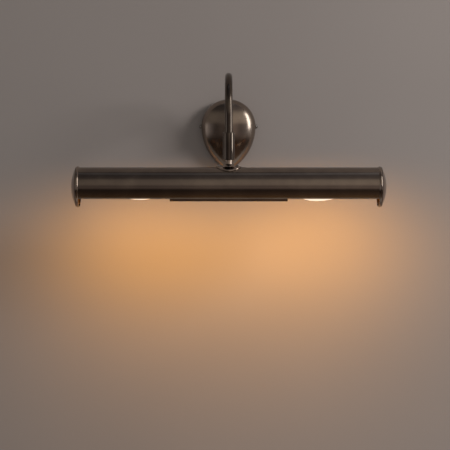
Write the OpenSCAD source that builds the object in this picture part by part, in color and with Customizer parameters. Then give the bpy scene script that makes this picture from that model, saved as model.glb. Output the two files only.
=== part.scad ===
// Picture light: a slotted tubular shade with two small screw lamps, hung from a swan-neck arm
// on a domed backplate. Origin: middle of the wall bracket's back face. +X along the shade,
// -Y out from the wall, +Z up. The tilt is at 0 and the swivel is straight ahead.

/* [Shade] */
// Overall length over both end caps
shade_len = 355; // [250:1:600]
// Outside diameter of the shade tube
shade_d = 44; // [36:0.5:70]
// Wall of the shade tube
shade_wall = 1.2; // [0.8:0.1:2]
// Distance from the wall to the shade's axis
shade_out = 140; // [110:1:220]
// Height of the bracket's middle above the shade's axis
shade_drop = 76; // [60:1:120]
// Front lip of the slot, degrees below level
lip_front = 40; // [20:1:60]
// Wall-side lip of the slot, degrees below level
lip_back = 5; // [0:1:40]

/* [End caps] */
// How far the bead on a cap stands out from the tube
cap_bead_out = 1.2; // [0.5:0.1:3]
// Depth of a cap from its bead's edge to the top of its dome
cap_depth = 9.5; // [6:0.5:16]
// Radius of the rolled bead
cap_bead_r = 1.9; // [1:0.1:3]
// Sheet thickness of the caps
cap_wall = 1; // [0.6:0.1:2]

/* [Centre cover] */
// Length of the cover under the lampholders
tray_len = 132; // [90:1:180]
// Depth of the cover's flat below the shade's axis
tray_drop = 11.5; // [10:0.1:16]
// Height of the cover's sides
tray_h = 6; // [4:0.5:9]
// Sheet thickness of the cover
tray_wall = 1; // [0.6:0.1:1.5]
// Distance of each cover screw from the middle
tray_screw_x = 27; // [22:0.5:30]

/* [Arm] */
// Outside diameter of the arm tube
arm_d = 8.7; // [7:0.1:12]
// Wall of the arm tube
arm_wall = 1; // [0.8:0.1:1.5]
// Height of the arm's root above the bracket's middle
arm_root_z = -11; // [-14:0.5:-8]
// Centre-line radius of the first bend
arm_bend_r = 14; // [12:0.5:20]
// Upright length between the first bend and the arch
arm_riser = 1.5; // [1:0.5:40]
// Straight length outside the backplate before the first bend
arm_stub = 3; // [1:0.5:10]

/* [Knuckle] */
// Wall of the knuckle sleeve
sleeve_wall = 1.4; // [1:0.1:2.5]
// Length of the knuckle sleeve
sleeve_len = 31; // [28:0.5:45]
// Wall of the collar between the arm and the sleeve
collar_wall = 0.74; // [0.6:0.02:1.5]
// Length of the close bore on the arm at the sleeve's top
sleeve_land = 6; // [4:0.5:10]
// Length of neck showing between the saddle's boss and the sleeve
neck_show = 4.8; // [3:0.1:15]
// Height of the tilt axis above the sleeve's lower end
pivot_up = 7.5; // [6:0.1:10]
// Diameter of the neck below the sleeve
neck_d = 8.4; // [6:0.1:9]
// Bore for the wires through the neck
neck_bore = 5; // [3:0.1:6]
// Gap between the neck's ball and the sleeve's bore
ball_gap = 0.2; // [0.1:0.05:0.5]
// Diameter of the two tilt pins
pin_d = 2.4; // [1.6:0.1:4]
// Diameter of the swivel's stop screw
stop_d = 2.4; // [2:0.1:4]
// Swivel each way
swivel_half = 25; // [10:1:30]
// Largest tilt towards the wall
tilt_max = 45; // [20:1:50]

/* [Saddle] */
// Diameter of the round saddle plate seen from above
saddle_d = 29.4; // [24:0.2:36]
// Thickness of the saddle plate
saddle_t = 1.3; // [1:0.1:2]
// Distance of each saddle screw from the middle
saddle_screw_x = 10.4; // [8:0.1:14]
// Height of the saddle's boss above its plate
saddle_boss_h = 2.1; // [1:0.1:6]
// Diameter at the foot of the boss
saddle_boss_d = 13; // [10:0.2:16]

/* [Backplate] */
// Width of the cover at its widest line
plate_w = 65.5; // [56:0.5:90]
// Drop of the cover's lower tip below its widest line
plate_drop = 50.3; // [46:0.1:58]
// Radius of the cover's lower sides
plate_side_r = 59.6; // [59:0.1:70]
// Straight rim of the cover, from the wall
plate_rim = 7; // [5:0.5:12]
// Height of the dome above the rim
plate_dome = 20; // [12:0.5:30]
// Sheet thickness of the cover
plate_wall = 1.2; // [0.8:0.1:1.5]

/* [Wall bracket] */
// Sheet thickness of the bracket
bracket_t = 1.5; // [1:0.1:3]
// Width of the upright strap
bracket_w = 18; // [14:0.5:24]
// Top of the strap
bracket_top = 20; // [18:0.5:24]
// Bottom of the strap, below the middle
bracket_bottom = 40; // [38:0.5:42]
// Distance between the two wall screw slots
wall_hole_pitch = 40; // [36:1:44]
// Width of a wall screw slot
wall_slot_w = 4.5; // [3.5:0.1:5.5]
// Length of a wall screw slot, end to end
wall_slot_len = 9; // [6:0.5:11]
// Hole in the bracket for the cable bush
cable_hole_d = 10; // [8:0.5:11]
// Height of the cable hole
cable_hole_z = 12.5; // [11.5:0.5:13.5]
// Bore of the rubber cable bush
cable_bore = 7; // [5:0.5:8]

/* [Lamps] */
// Largest diameter of a lamp's glass
lamp_d = 35; // [28:0.5:38]
// Length of a lamp from its contact to its tip
lamp_len = 100; // [80:1:110]
// Distance of each lamp's contact from the shade's middle
lamp_contact_x = 47; // [45:0.5:55]
// Distance from the contact to the widest part of the glass
lamp_belly = 51.6; // [44:0.2:60]
// Height of the right lamp's axis above the shade's axis
lamp_lift_right = 1.5; // [0:0.1:2.8]
// Height of the left lamp's axis above the shade's axis
lamp_lift_left = 2.8; // [0:0.1:2.8]
// Outside diameter of a lampholder
holder_d = 22; // [20:0.5:24]
// Length of a lampholder
holder_len = 31; // [28:0.5:36]

/* [Hidden] */
$fn = 64;
// radial gap between pieces fixed together
snug = 0.05;
// radial running clearance at the pivots
run_fit = 0.06;
// end play between faces that turn on each other
end_play = 0.1;
// cutting tools run this far past a face
past = 1;

shade_r = shade_d / 2;
shade_in_r = shade_r - shade_wall;
slot_turn = (lip_front - lip_back) / 2;
slot_half = 90 - (lip_front + lip_back) / 2;
cap_r = shade_r + cap_bead_out;
cap_x0 = shade_len / 2 - cap_depth;
cap_x1 = cap_x0 + 2 * cap_bead_r;
cap_dome_h = shade_len / 2 - cap_x1;
cap_dome_base = cap_r - cap_bead_r / 4;
cap_dome_r = (cap_dome_base * cap_dome_base + cap_dome_h * cap_dome_h) / (2 * cap_dome_h);
tube_end_x = cap_x1 - 0.3;

plate_r = plate_w / 2;
plate_out = plate_rim + plate_dome;

// the arm's path: out, up the first bend, a short riser, the arch, down into the sleeve
arm_r = arm_d / 2;
arm_bore_r = arm_r - arm_wall;
arm_in = plate_out - 14;
arm_u0 = plate_out + arm_stub;
riser_u = arm_u0 + arm_bend_r;
riser_z = arm_root_z + arm_bend_r;
arch_r = (shade_out - riser_u) / 2;
arch_z = riser_z + arm_riser;

// the knuckle, sized from the arm outwards, in heights above the bracket's middle
sleeve_bore_r = arm_r + snug + collar_wall + run_fit;
sleeve_r = sleeve_bore_r + sleeve_wall;
ball_r = sleeve_bore_r - ball_gap;
saddle_boss_rise = shade_r + saddle_t + saddle_boss_h;
sleeve_rise = saddle_boss_rise + neck_show;
pivot_rise = sleeve_rise + pivot_up;
sleeve_bottom = sleeve_rise - shade_drop;
sleeve_top = sleeve_bottom + sleeve_len;
pivot_z = pivot_rise - shade_drop;
collar_top = sleeve_top - sleeve_land - end_play;
collar_len = 7;
collar_r = sleeve_bore_r - run_fit;
arm_end_z = collar_top - collar_len;
stop_z = collar_top - collar_len / 2;
stop_half = swivel_half + asin(stop_d / 2 / (arm_r + snug)) + 1.5;
slot_gap = 0.3;

// inside the shade, heights above the shade's axis
plate_half_y = 8;
plate_t = 2;
hanger_top = sqrt(pow(shade_in_r - 0.1, 2) - plate_half_y * plate_half_y);
stem_thread_r = neck_d / 2 - 0.4;
stem_nut_t = 3.5;
stem_end_rise = hanger_top - plate_t - stem_nut_t - 1.2;
tab_x = lamp_contact_x - 12;
tab_t = 1.5;
holder_r = holder_d / 2;
holder_x1 = tab_x + holder_len;
nipple_r = 4.95;
nipple_bore_r = 3.4;
foot_t = 1.5;
foot_w = 12;
foot_z = -(tray_drop - tray_wall - 0.2);
foot_x0 = tray_screw_x - 5;
tray_w = 2 * (shade_in_r * sin(slot_half) - 0.3);
m3_r = 1.45;
m3_tap_r = m3_r + snug;
lamp_r = lamp_d / 2;
lamp_neck_r = 7.2;
cap_shell_len = 22;
lamp_neck_x = lamp_contact_x + 3 + cap_shell_len - 1;
lamp_neck_side_r = 48;
lamp_tip_side_r = 82;
wire_r = 0.8;
wire_half = 1.2;

bronze = [0.25, 0.21, 0.18];
steel = [0.62, 0.62, 0.6];
yellow_metal = [0.75, 0.6, 0.3];
opal = [0.97, 0.93, 0.84];

// ---- placing ----

// the shade's axis
module at_shade() {
    translate([0, -shade_out, -shade_drop]) children();
}

// the shade's axis, turned so that -Z looks out of the middle of the slot
module at_slot() {
    at_shade() rotate([slot_turn, 0, 0]) children();
}

// drawing in the side view: first axis out from the wall, second axis up
module side_view() {
    rotate([90, 0, -90]) children();
}

module along_x(x0, x1, r) {
    translate([x0, 0, 0]) rotate([0, 90, 0]) cylinder(h = x1 - x0, r = r);
}

// from the wall side outwards, from out = u0 to out = u1
module along_out(u0, u1, r) {
    translate([0, -u0, 0]) rotate([90, 0, 0]) cylinder(h = u1 - u0, r = r);
}

module upright(z0, z1, r) {
    translate([0, 0, z0]) cylinder(h = z1 - z0, r = r);
}

module both_sides() {
    children();
    mirror([1, 0, 0]) children();
}

// a half outline from its widest line down to a rounded tip, all arcs tangent
module half_egg(half_w, side_r, drop, inset) {
    shift = side_r - half_w;
    tip_r = (side_r * side_r - shift * shift - drop * drop) / (2 * (side_r - drop));
    tip_y = drop - tip_r;
    join_y = (side_r - inset) * tip_y / (side_r - tip_r);
    intersection() {
        translate([-shift, 0]) circle(r = side_r - inset);
        translate([0, -join_y]) square([half_w, join_y]);
    }
    intersection() {
        translate([0, -tip_y]) circle(r = tip_r - inset);
        translate([0, -drop]) square([half_w, drop - tip_y]);
    }
}

// ---- backplate and wall bracket ----

// right half of the cover's outline, drawn in by inset
module plate_half(inset) {
    half_egg(plate_r, plate_side_r, plate_drop, inset);
    intersection() {
        circle(r = plate_r - inset);
        square([plate_r, plate_r]);
    }
}

module plate_outline(inset) {
    plate_half(inset);
    mirror([1, 0]) plate_half(inset);
}

// the dome in front of the rim, between two insets of its outline
module plate_dome_part(inset, core_inset) {
    translate([0, -plate_rim, 0]) scale([1, plate_dome / plate_r, 1]) intersection() {
        rotate_extrude() difference() {
            plate_half(inset);
            if (core_inset > 0) plate_half(core_inset);
        }
        translate([-plate_r, -plate_w, -plate_w]) cube([plate_w, plate_w, 2 * plate_w]);
    }
}

module plate_rim_part(inset) {
    rotate([90, 0, 0]) linear_extrude(height = plate_rim) plate_outline(inset);
}

module backplate_cover() {
    color(bronze) difference() {
        union() {
            plate_dome_part(0, plate_wall);
            rotate([90, 0, 0]) linear_extrude(height = plate_rim) difference() {
                plate_outline(0);
                plate_outline(plate_wall);
            }
        }
        translate([0, 0, arm_root_z]) along_out(plate_rim, plate_out + past, arm_r + snug);
        translate([0, -side_screw_out, 0])
            along_x(-plate_w, plate_w, side_screw_r + 0.15);
    }
}

side_screw_out = 4.5;
side_screw_r = 1.5;
ear_x = plate_r - plate_wall - 0.75;
ear_half = 5;

module cover_side_screws() {
    color(steel) both_sides() translate([0, -side_screw_out, 0]) {
        along_x(ear_x - 4.5, plate_r + 0.5, side_screw_r);
        translate([plate_r + snug, 0, 0]) rotate([0, 90, 0]) difference() {
            intersection() {
                translate([0, 0, -1.6]) sphere(r = 3.6);
                cylinder(h = 2.4, r = 2.4);
            }
            translate([-3, -0.35, 1.2]) cube([6, 0.7, 3]);
        }
    }
}

// the strap, its cross arms with their ears, two screw slots, the cable hole
module wall_bracket() {
    color(steel) difference() {
        union() {
            translate([-bracket_w / 2, -bracket_t, -bracket_bottom])
                cube([bracket_w, bracket_t, bracket_bottom + bracket_top]);
            translate([-ear_x, -bracket_t, -ear_half]) cube([2 * ear_x, bracket_t, 2 * ear_half]);
            both_sides() translate([ear_x - bracket_t, -8.5, -ear_half])
                cube([bracket_t, 8.5, 2 * ear_half]);
        }
        for (side = [-1, 1]) translate([side * wall_hole_pitch / 2, 0, 0])
            rotate([90, 0, 0]) translate([0, 0, -past]) {
                translate([-(wall_slot_len - wall_slot_w) / 2, -wall_slot_w / 2, 0])
                    cube([wall_slot_len - wall_slot_w, wall_slot_w, bracket_t + 2 * past]);
                for (tip = [-1, 1]) translate([tip * (wall_slot_len - wall_slot_w) / 2, 0, 0])
                    cylinder(h = bracket_t + 2 * past, r = wall_slot_w / 2);
            }
        translate([0, 0, cable_hole_z]) along_out(-past, bracket_t + past, cable_hole_d / 2);
        translate([0, -side_screw_out, 0]) along_x(-plate_w, plate_w, side_screw_r + snug);
        translate([0, 0, earth_z]) along_out(-past, bracket_t + past, 1.7 + snug);
        for (side = [-1, 1]) translate([side * block_fix_x, 0, block_z])
            along_out(-past, bracket_t + past, 1 + snug);
    }
}

module cable_bush() {
    color([0.08, 0.08, 0.08]) translate([0, 0, cable_hole_z]) difference() {
        union() {
            along_out(0, bracket_t + 0.5, cable_hole_d / 2 - snug);
            along_out(bracket_t + snug, bracket_t + 1.5, cable_hole_d / 2 + 1.4);
        }
        along_out(-past, bracket_t + 2 * past, cable_bore / 2);
    }
}

block_z = -33.5;
block_w = 17;
block_h = 8;
block_d = 11;
block_back = bracket_t + snug;
block_pitch = 5;
block_fix_x = 2.5;

// three-way terminal block with its wire ways running up and down
module terminal_block() {
    color([0.9, 0.9, 0.86]) difference() {
        union() {
            translate([-block_w / 2, -block_back - block_d, block_z - block_h / 2])
                cube([block_w, block_d, block_h]);
            for (side = [-1, 1]) translate([side * block_fix_x, 0, block_z])
                along_out(0.2, block_back + 1, 1);
        }
        for (way = [-1, 0, 1]) translate([way * block_pitch, -block_back - 4, block_z]) {
            upright(-block_h, block_h, 1.5);
            translate([0, 1, 0]) along_out(0, block_d, 1.3 + snug);
        }
    }
}

module terminal_screws() {
    color(yellow_metal) for (way = [-1, 0, 1])
        translate([way * block_pitch, -block_back - 4, block_z]) difference() {
            along_out(1.2, block_d - 5.2, 1.3);
            translate([-2, -block_d + 4.6, -0.3]) cube([4, 2, 0.6]);
        }
}

earth_z = -20;

module earth_screw() {
    color(yellow_metal) translate([0, 0, earth_z]) difference() {
        union() {
            along_out(0.1, bracket_t + 1, 1.7);
            along_out(bracket_t + snug, bracket_t + 2.4, 3.4);
        }
        translate([-4, -bracket_t - 3, -0.4]) cube([8, 1.6, 0.8]);
    }
}

supply_u = 8.5;
supply_bend = 4.5;

// the two cores from the terminal block up and out into the arm's bore
module supply_wires() {
    color([0.45, 0.2, 0.1]) for (side = [-1, 1]) translate([side * wire_half, 0, 0]) side_view() {
        wire_top = arm_root_z;
        translate([supply_u, block_z + block_h / 2 + 0.2]) rotate([-90, 0, 0])
            cylinder(h = wire_top - supply_bend - block_z - block_h / 2 - 0.2, r = wire_r);
        translate([supply_u + supply_bend, wire_top - supply_bend]) rotate([0, 0, 90])
            rotate_extrude(angle = 90) translate([supply_bend, 0]) circle(r = wire_r);
        translate([supply_u + supply_bend, wire_top]) rotate([0, 90, 0])
            cylinder(h = 9, r = wire_r);
    }
}

boss_r = 7.5;
boss_back = plate_out - 7;

// threaded boss brazed inside the dome for the arm's root
module arm_boss() {
    color(yellow_metal) difference() {
        intersection() {
            union() {
                plate_dome_part(plate_wall + snug, 0);
                plate_rim_part(plate_wall + snug);
            }
            translate([0, 0, arm_root_z]) along_out(boss_back, plate_out, boss_r);
        }
        translate([0, 0, arm_root_z]) along_out(boss_back - past, plate_out + past, arm_r + snug);
    }
}

module arm_lock_washer() {
    color(steel) translate([0, 0, arm_root_z]) difference() {
        along_out(boss_back - 1, boss_back - snug, 7);
        along_out(boss_back - 3, boss_back + past, arm_r + 0.2);
    }
}

module arm_lock_nut() {
    color(steel) translate([0, 0, arm_root_z]) difference() {
        translate([0, -(boss_back - 4.6), 0]) rotate([90, 0, 0]) cylinder(h = 3.5, r = 7.6, $fn = 6);
        along_out(boss_back - 7, boss_back + past, arm_r + snug);
    }
}

// ---- arm ----

module ring(r, bore_r) {
    difference() {
        circle(r = r);
        circle(r = bore_r);
    }
}

// the arm's bends and straights end to end, each one a length of tube
module swan_neck_arm() {
    color(bronze) {
        translate([0, -arm_in, arm_root_z]) rotate([90, 0, 0])
            linear_extrude(height = arm_u0 - arm_in) ring(arm_r, arm_bore_r);
        side_view() {
            translate([arm_u0, riser_z]) rotate([0, 0, -90])
                rotate_extrude(angle = 90) translate([arm_bend_r, 0]) ring(arm_r, arm_bore_r);
            translate([riser_u + arch_r, arch_z])
                rotate_extrude(angle = 180) translate([arch_r, 0]) ring(arm_r, arm_bore_r);
        }
        translate([0, -riser_u, riser_z])
            linear_extrude(height = arm_riser) ring(arm_r, arm_bore_r);
        translate([0, -shade_out, arm_end_z])
            linear_extrude(height = arch_z - arm_end_z) ring(arm_r, arm_bore_r);
    }
}

// collar screwed on the arm's end: the sleeve hangs and turns on it
module swivel_collar() {
    color(yellow_metal) translate([0, -shade_out, 0]) difference() {
        upright(arm_end_z + 0.3, collar_top, collar_r);
        upright(arm_end_z - past, collar_top + past, arm_r + snug);
        translate([0, 0, stop_z]) rotate([0, 0, 90 - stop_half])
            rotate_extrude(angle = 2 * stop_half)
                translate([arm_r - 0.5, -stop_d / 2 - 0.3]) square([3, stop_d + 0.6]);
    }
}

// ---- knuckle ----

module knuckle_sleeve() {
    slot_half_w = neck_d / 2 + slot_gap;
    color(bronze) translate([0, -shade_out, 0]) difference() {
        upright(sleeve_bottom, sleeve_top, sleeve_r);
        upright(sleeve_bottom - past, sleeve_top - sleeve_land, sleeve_bore_r);
        upright(sleeve_bottom, sleeve_top + past, arm_r + run_fit);
        // the slot on the wall side lets the neck swing back
        translate([-slot_half_w, 0, sleeve_bottom - past])
            cube([2 * slot_half_w, 2 * sleeve_r, pivot_z + 2 - slot_half_w - sleeve_bottom + past]);
        translate([0, 0, pivot_z + 2 - slot_half_w]) rotate([-90, 0, 0])
            cylinder(h = 2 * sleeve_r, r = slot_half_w);
        translate([0, 0, pivot_z]) along_x(-2 * sleeve_r, 2 * sleeve_r, pin_d / 2 + snug);
        translate([0, 0, stop_z]) rotate([-90, 0, 0])
            cylinder(h = 2 * sleeve_r, r = stop_d / 2 + snug);
    }
}

module swivel_stop_screw() {
    screw_in = arm_r + 0.2;
    screw_out = sleeve_r - 0.2;
    color(steel) translate([0, -shade_out + screw_in, stop_z]) rotate([-90, 0, 0]) difference() {
        cylinder(h = screw_out - screw_in, r = stop_d / 2);
        translate([0, 0, screw_out - screw_in - 0.8]) cylinder(h = 2, r = 0.65, $fn = 6);
    }
}

module tilt_pins() {
    color(steel) both_sides() translate([0, -shade_out, pivot_z])
        along_x(neck_bore / 2 + 0.4, sleeve_r - 0.1, pin_d / 2);
}

// ball, neck and threaded foot in one turned piece, bored for the wires
module neck_stem() {
    color(bronze) at_shade() difference() {
        union() {
            translate([0, 0, pivot_rise]) sphere(r = ball_r);
            upright(saddle_boss_rise + snug, pivot_rise, neck_d / 2);
            upright(stem_end_rise, pivot_rise - 5, stem_thread_r);
        }
        upright(stem_end_rise - past, pivot_rise + 2 * ball_r, neck_bore / 2);
        translate([0, 0, pivot_rise]) along_x(-2 * ball_r, 2 * ball_r, pin_d / 2 + run_fit);
    }
}

// ---- saddle ----

module saddle_plate() {
    color(bronze) at_shade() difference() {
        union() {
            intersection() {
                along_x(-saddle_d, saddle_d, shade_r + saddle_t);
                upright(0, shade_d, saddle_d / 2);
            }
            translate([0, 0, shade_r - 1]) cylinder(h = saddle_boss_rise - shade_r + 1,
                r1 = saddle_boss_d / 2 + 0.6, r2 = neck_d / 2 + 0.5);
        }
        along_x(-saddle_d, saddle_d, shade_r + snug);
        upright(0, shade_d, stem_thread_r + snug);
        both_sides() translate([saddle_screw_x, 0, 0]) upright(0, shade_d, m3_r + 0.15);
    }
}

module saddle_screws() {
    seat = shade_r + saddle_t + snug;
    color(steel) at_shade() both_sides() translate([saddle_screw_x, 0, 0]) difference() {
        union() {
            upright(hanger_top - plate_t - 1, seat + 0.4, m3_r);
            intersection() {
                upright(seat, seat + 1.6, 2.6);
                translate([0, 0, seat - 1.6]) sphere(r = 3.4);
            }
        }
        translate([-0.35, -3, seat + 0.9]) cube([0.7, 6, 2]);
    }
}

module stem_nut() {
    nut_top = hanger_top - plate_t - snug;
    color(yellow_metal) at_shade() difference() {
        translate([0, 0, nut_top - stem_nut_t]) cylinder(h = stem_nut_t, r = 7, $fn = 6);
        upright(0, shade_r, stem_thread_r + snug);
    }
}

// ---- shade ----

module shade_tube() {
    fan = 4 * shade_r;
    color(bronze) at_slot() difference() {
        along_x(-tube_end_x, tube_end_x, shade_r);
        along_x(-tube_end_x - past, tube_end_x + past, shade_in_r);
        translate([-tube_end_x - past, 0, 0]) rotate([90, 0, 90])
            linear_extrude(height = 2 * tube_end_x + 2 * past)
                polygon([[0, 0], [-fan * sin(slot_half), -fan * cos(slot_half)],
                    [fan * sin(slot_half), -fan * cos(slot_half)]]);
        rotate([-slot_turn, 0, 0]) {
            upright(0, shade_d, stem_thread_r + 0.2);
            both_sides() translate([saddle_screw_x, 0, 0]) upright(0, shade_d, m3_r + 0.2);
        }
    }
}

// pressed cup with a rolled bead at its mouth and a shallow dome
module end_cap() {
    color(bronze) at_shade() rotate([0, 90, 0]) rotate_extrude() difference() {
        union() {
            translate([cap_r - cap_bead_r, cap_x0 + cap_bead_r]) circle(r = cap_bead_r);
            translate([0, cap_x0 + 0.4]) square([cap_r - 0.6, 2 * cap_bead_r]);
            intersection() {
                translate([0, shade_len / 2 - cap_dome_r]) circle(r = cap_dome_r);
                translate([0, cap_x1]) square([cap_dome_base, cap_dome_h]);
            }
        }
        translate([0, cap_x0 - past]) square([shade_r + snug, cap_x1 - cap_x0 + past]);
        intersection() {
            translate([0, shade_len / 2 - cap_dome_r]) circle(r = cap_dome_r - cap_wall);
            translate([0, cap_x1 - past]) square([shade_in_r, cap_dome_h + past]);
        }
    }
}

module end_cap_right() {
    end_cap();
}

module end_cap_left() {
    mirror([1, 0, 0]) end_cap();
}

// top plate under the tube's crown, two hanging tabs for the lampholders, two sloping feet
module lampholder_bracket() {
    color(steel) difference() {
        union() {
            at_shade() translate([-tab_x, -plate_half_y, hanger_top - plate_t])
                cube([2 * tab_x, 2 * plate_half_y, plate_t]);
            both_sides() {
                at_shade() translate([tab_x - tab_t, -plate_half_y, foot_z / 2])
                    cube([tab_t, 2 * plate_half_y, hanger_top - foot_z / 2]);
                at_slot() {
                    translate([tab_x - tab_t, -foot_w / 2, foot_z])
                        cube([tab_t, foot_w, -foot_z]);
                    translate([foot_x0, -foot_w / 2, foot_z]) cube([tab_x - foot_x0, foot_w, foot_t]);
                }
            }
        }
        at_shade() {
            upright(0, shade_d, stem_thread_r + 0.2);
            both_sides() translate([saddle_screw_x, 0, 0]) upright(0, shade_d, m3_tap_r);
            translate([0, 0, lamp_lift_right]) along_x(0, shade_len, nipple_r + snug);
            translate([0, 0, lamp_lift_left]) along_x(-shade_len, 0, nipple_r + snug);
        }
        at_slot() both_sides() translate([tray_screw_x, 0, 0])
            upright(foot_z - past, foot_z + foot_t + past, m3_tap_r);
    }
}

module centre_cover() {
    color(bronze) difference() {
        at_slot() difference() {
            translate([-tray_len / 2, -tray_w / 2, -tray_drop]) cube([tray_len, tray_w, tray_h]);
            translate([-tray_len / 2 + tray_wall, -tray_w / 2 + tray_wall, -tray_drop + tray_wall])
                cube([tray_len - 2 * tray_wall, tray_w - 2 * tray_wall, tray_h]);
            both_sides() translate([tray_screw_x, 0, 0]) upright(-shade_r, 0, m3_r + 0.15);
        }
        at_shade() {
            translate([0, 0, lamp_lift_right]) along_x(0, shade_len, holder_r + 0.3);
            translate([0, 0, lamp_lift_left]) along_x(-shade_len, 0, holder_r + 0.3);
        }
    }
}

module centre_cover_screws() {
    color(steel) at_slot() both_sides() translate([tray_screw_x, 0, 0]) difference() {
        union() {
            upright(-tray_drop - 0.4, foot_z + foot_t + 1, m3_r);
            intersection() {
                upright(-tray_drop - 1.5, -tray_drop - snug, 2.6);
                translate([0, 0, -tray_drop + 1.7]) sphere(r = 3.4);
            }
        }
        translate([-0.35, -3, -tray_drop - 3]) cube([0.7, 6, 2.1]);
    }
}

// ---- lampholders and lamps, drawn for the right side ----

module lampholder(lift) {
    color([0.86, 0.84, 0.78]) at_shade() translate([0, 0, lift]) difference() {
        union() {
            along_x(tab_x + snug, tab_x + 9, holder_r - 1.8);
            along_x(tab_x + 7, holder_x1 - 1.5, holder_r);
            along_x(holder_x1 - 2, holder_x1, holder_r - 0.6);
        }
        along_x(tab_x - past, tab_x + 6, nipple_r + snug);
        along_x(tab_x + 5, tab_x + 9, 4);
        along_x(tab_x + 8.5, holder_x1 + past, 7.8);
    }
}

module lampholder_right() {
    lampholder(lamp_lift_right);
}

module lampholder_left() {
    mirror([1, 0, 0]) lampholder(lamp_lift_left);
}

module on_lamp_axes() {
    at_shade() {
        translate([0, 0, lamp_lift_right]) children();
        mirror([1, 0, 0]) translate([0, 0, lamp_lift_left]) children();
    }
}

module lampholder_nipples() {
    color(yellow_metal) on_lamp_axes() difference() {
        along_x(tab_x - 6.5, tab_x + 5, nipple_r);
        along_x(tab_x - 8, tab_x + 6, nipple_bore_r);
    }
}

module lampholder_nuts() {
    color(yellow_metal) on_lamp_axes() difference() {
        translate([tab_x - tab_t - snug - 3, 0, 0]) rotate([0, 90, 0])
            cylinder(h = 3, r = 7.5, $fn = 6);
        along_x(0, tab_x, nipple_r + snug);
    }
}

// springy centre contact at the bottom of each lampholder
module lampholder_contacts() {
    color(yellow_metal) on_lamp_axes() {
        along_x(tab_x + 8.55, tab_x + 9.4, 5);
        along_x(tab_x + 9.2, lamp_contact_x - 0.1, 2);
    }
}

// screw shell with its rolled thread, the insulator and the contact button
module lamp_cap(lift) {
    shell_x = lamp_contact_x + 3;
    color(steel) at_shade() translate([0, 0, lift]) {
        along_x(lamp_contact_x, shell_x, 2.2);
        translate([lamp_contact_x + 1, 0, 0]) rotate([0, 90, 0]) cylinder(h = 2.2, r1 = 3.5, r2 = 6);
        along_x(shell_x, shell_x + cap_shell_len, 6.6);
        for (turn = [0:4]) translate([shell_x + 2.4 + turn * 2.8, 0, 0]) rotate([0, 90, 0])
            rotate_extrude() translate([6.2, 0]) circle(r = 0.8);
    }
}

module lamp_cap_right() {
    lamp_cap(lamp_lift_right);
}

module lamp_cap_left() {
    mirror([1, 0, 0]) lamp_cap(lamp_lift_left);
}

// opal candle glass: neck, belly and rounded tip from tangent arcs
module lamp_glass(lift) {
    belly_x = lamp_contact_x + lamp_belly;
    neck_x = lamp_contact_x + 3 + cap_shell_len + snug;
    color(opal) at_shade() translate([0, 0, lift]) rotate([0, 90, 0]) rotate_extrude() union() {
        translate([0, belly_x]) mirror([0, 1])
            half_egg(lamp_r, lamp_tip_side_r, lamp_len - lamp_belly, 0);
        intersection() {
            translate([lamp_r - lamp_neck_side_r, belly_x]) circle(r = lamp_neck_side_r);
            translate([0, neck_x]) square([lamp_r, belly_x - neck_x]);
        }
    }
}

module lamp_glass_right() {
    lamp_glass(lamp_lift_right);
}

module lamp_glass_left() {
    mirror([1, 0, 0]) lamp_glass(lamp_lift_left);
}

// one core from a lampholder along the shade and up the neck's bore
module shade_wire(lift, y_off) {
    bend = stem_end_rise + 1 - lift;
    at_shade() translate([0, y_off, 0]) {
        translate([0, 0, lift]) along_x(bend, tab_x + 4, wire_r);
        translate([bend, 0, lift + bend]) rotate([90, 0, 0]) rotate([0, 0, 180])
            rotate_extrude(angle = 90) translate([bend, 0]) circle(r = wire_r);
        upright(lift + bend, stem_end_rise + 6, wire_r);
    }
}

module shade_wires() {
    color([0.45, 0.2, 0.1]) {
        shade_wire(lamp_lift_right, wire_half);
        mirror([1, 0, 0]) shade_wire(lamp_lift_left, -wire_half);
    }
}

wall_bracket();
cable_bush();
terminal_block();
terminal_screws();
earth_screw();
supply_wires();
backplate_cover();
cover_side_screws();
arm_boss();
arm_lock_washer();
arm_lock_nut();
swan_neck_arm();
swivel_collar();
knuckle_sleeve();
swivel_stop_screw();
tilt_pins();
neck_stem();
saddle_plate();
saddle_screws();
stem_nut();
shade_tube();
end_cap_left();
end_cap_right();
lampholder_bracket();
lampholder_left();
lampholder_right();
lampholder_nipples();
lampholder_nuts();
lampholder_contacts();
lamp_cap_left();
lamp_cap_right();
lamp_glass_left();
lamp_glass_right();
centre_cover();
centre_cover_screws();
shade_wires();
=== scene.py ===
"""Picture light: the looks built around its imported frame.

Metres throughout. +X runs along the shade, -Y comes out from the wall, +Z is up. The order is:
camera, sizes, the material tools and finishes, the ways of making a piece, the pieces, the studio.
"""

import math

import bmesh
import bpy
from mathutils import Matrix, Vector


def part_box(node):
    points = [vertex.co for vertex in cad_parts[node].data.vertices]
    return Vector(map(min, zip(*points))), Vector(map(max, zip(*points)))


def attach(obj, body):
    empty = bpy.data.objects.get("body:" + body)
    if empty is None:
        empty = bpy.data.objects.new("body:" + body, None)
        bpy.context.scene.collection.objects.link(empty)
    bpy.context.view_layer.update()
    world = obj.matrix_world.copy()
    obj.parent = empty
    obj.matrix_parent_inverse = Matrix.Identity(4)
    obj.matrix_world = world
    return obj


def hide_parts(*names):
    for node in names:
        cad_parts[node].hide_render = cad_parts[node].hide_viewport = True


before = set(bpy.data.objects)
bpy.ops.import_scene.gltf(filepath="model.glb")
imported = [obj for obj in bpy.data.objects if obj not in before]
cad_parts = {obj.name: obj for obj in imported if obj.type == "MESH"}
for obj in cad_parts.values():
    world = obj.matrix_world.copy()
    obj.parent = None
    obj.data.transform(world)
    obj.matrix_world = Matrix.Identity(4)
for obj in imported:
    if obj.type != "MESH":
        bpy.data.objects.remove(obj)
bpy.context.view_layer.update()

MM = 0.001

# ---- sizes that the frame gives ----

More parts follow.
